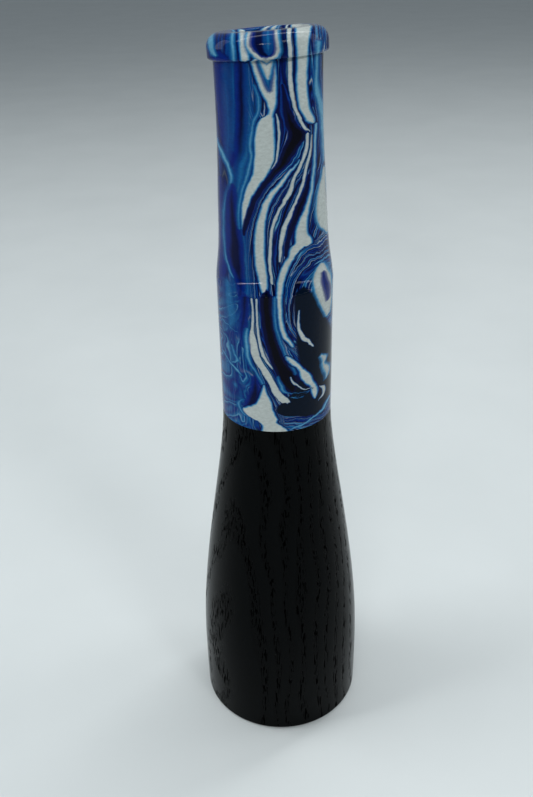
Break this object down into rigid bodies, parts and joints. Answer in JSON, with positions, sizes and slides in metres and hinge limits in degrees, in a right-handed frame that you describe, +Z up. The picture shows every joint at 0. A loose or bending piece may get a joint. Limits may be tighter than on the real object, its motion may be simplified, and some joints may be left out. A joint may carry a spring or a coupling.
{
  "type": "duck call",
  "caption": "Turned duck call: dark wood barrel on its mouth end, with a marbled resin insert that pulls out and turns, a tone board, reeds and O-rings.",
  "frame": {"origin": "centre of the barrel's flat mouth end, on the surface that the call stands on", "axes": "+Z up along the bore, from the mouth end to the exhaust end; -Y faces the scooped side of the stem and the reeds"},
  "size_m": [0.0356, 0.0356, 0.1481],
  "materials": {
    "barrel_wood": "black-dyed open-grain wood under satin to gloss lacquer",
    "insert_resin": "polished cast resin marbled in blues, white, grey and near black",
    "tone_board_plastic": "machined black acrylic",
    "o_ring_rubber": "matt black nitrile rubber",
    "reed_film": "milky polyester reed film",
    "wedge_cork": "composition cork"
  },
  "bodies": {
    "barrel": {"barrel": "barrel_wood"},
    "o_rings": {"o_ring_upper": "o_ring_rubber", "o_ring_lower": "o_ring_rubber"},
    "insert": {"insert_body": "insert_resin", "tone_board": "tone_board_plastic", "wedge": "wedge_cork"},
    "main_reed": {"main_reed": "reed_film"},
    "second_reed": {"second_reed": "reed_film"}
  },
  "joints": [
    {"name": "insert_slide", "type": "slide", "parent": "barrel", "child": "o_rings", "axis": [0, 0, 1], "range_m": [0, 0.07]},
    {"name": "insert_twist", "type": "hinge", "parent": "o_rings", "child": "insert", "pos_m": [0, 0, 0.0695], "axis": [0, 0, 1], "continuous": true},
    {"name": "main_reed_flex", "type": "hinge", "parent": "insert", "child": "main_reed", "pos_m": [0, -0.00118, 0.053], "axis": [1, 0, 0], "range_deg": [-1, 2], "stiffness_Nm_per_rad": 0.012, "deforming": ["main_reed"]},
    {"name": "second_reed_flex", "type": "hinge", "parent": "insert", "child": "second_reed", "pos_m": [0, -0.00157, 0.053], "axis": [1, 0, 0], "range_deg": [-1, 2], "stiffness_Nm_per_rad": 0.006, "deforming": ["second_reed"]}
  ],
  "couplings": [
    {"joint": "second_reed_flex", "follows": "main_reed_flex", "ratio": 1}
  ]
}
